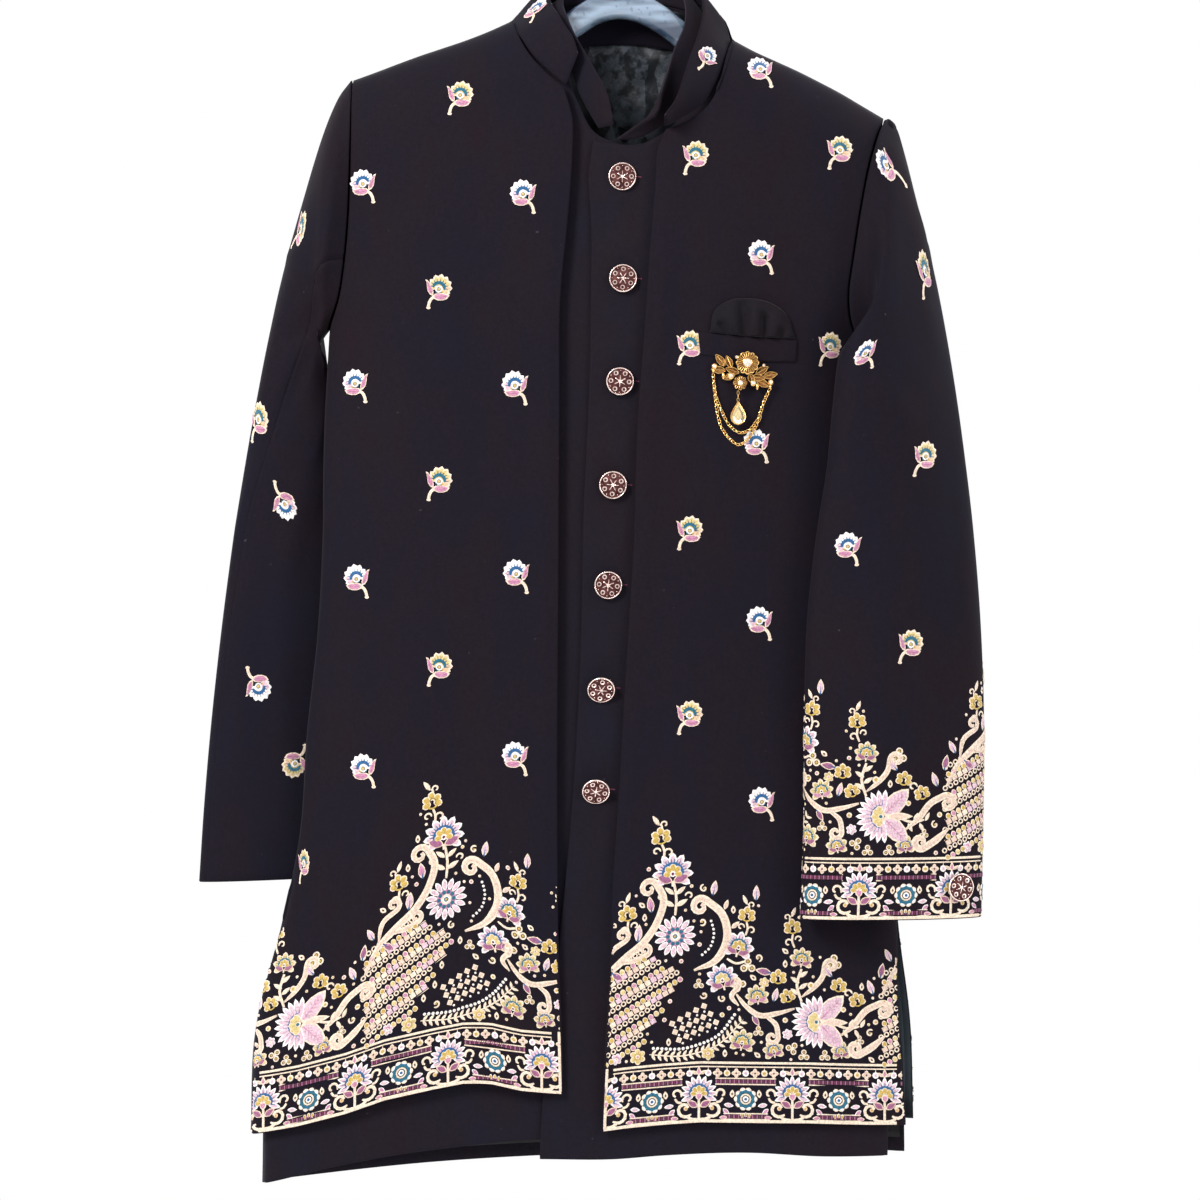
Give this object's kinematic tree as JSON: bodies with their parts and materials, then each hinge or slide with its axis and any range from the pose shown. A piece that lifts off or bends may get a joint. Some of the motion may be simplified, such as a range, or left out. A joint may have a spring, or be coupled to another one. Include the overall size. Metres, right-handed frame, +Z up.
{
  "type": "sherwani coat on hanger",
  "caption": "Sherwani: an open embroidered coat with a stand collar over a plain buttoned kurta, hung on a moulded hanger.",
  "frame": {"origin": "the point under the hanger hook's crown where the hook bears on a rail", "axes": "+Z up, from hem to hook; the front faces -Y; the wearer's left is +X"},
  "size_m": [0.6775, 0.1488, 1.1164],
  "materials": {
    "suiting": "matte fine wool-like suiting, very dark aubergine, with embroidery in cream, pink, mauve, gold and teal thread",
    "satin_lining": "crumpled satin lining, slate with a soft sheen",
    "antique_copper": "antique copper, stamped in relief, rubbed bright on the rim",
    "gilt": "polished rose-gold plate set with small clear stones",
    "crystal": "clear faceted stone in a gilt setting",
    "hanger_plastic": "blue-grey glossy moulded plastic",
    "hook_steel": "polished steel wire"
  },
  "bodies": {
    "root": {"outer_front_right": "suiting", "outer_front_left": "suiting", "outer_back": "suiting", "outer_back_lining": "satin_lining", "sleeve_right_upper": "suiting", "sleeve_right_under": "suiting", "sleeve_left_upper": "suiting", "sleeve_left_under": "suiting", "outer_collar": "suiting", "breast_welt": "suiting", "pocket_square": "suiting", "cuff_button_right": "antique_copper", "cuff_button_left": "antique_copper", "inner_front_right": "suiting", "inner_front_left": "suiting", "inner_back": "suiting", "inner_collar": "suiting", "back_neck_facing": "suiting", "inner_back_lining": "satin_lining", "front_button_1": "antique_copper", "front_button_2": "antique_copper", "front_button_3": "antique_copper", "front_button_4": "antique_copper", "front_button_5": "antique_copper", "front_button_6": "antique_copper", "front_button_7": "antique_copper", "brooch_plate": "gilt", "brooch_flower_large": "gilt", "brooch_flower_small": "gilt", "brooch_chain_short": "gilt", "brooch_chain_long": "gilt", "hanger_body": "hanger_plastic", "hanger_hook": "hook_steel"},
    "brooch_drop": {"brooch_drop": "crystal"}
  },
  "joints": [
    {"name": "brooch_drop_swing", "type": "hinge", "parent": "root", "child": "brooch_drop", "pos_m": [0.1, -0.06022, -0.4326], "axis": [0, 1, 0], "range_deg": [-20, 20]}
  ]
}
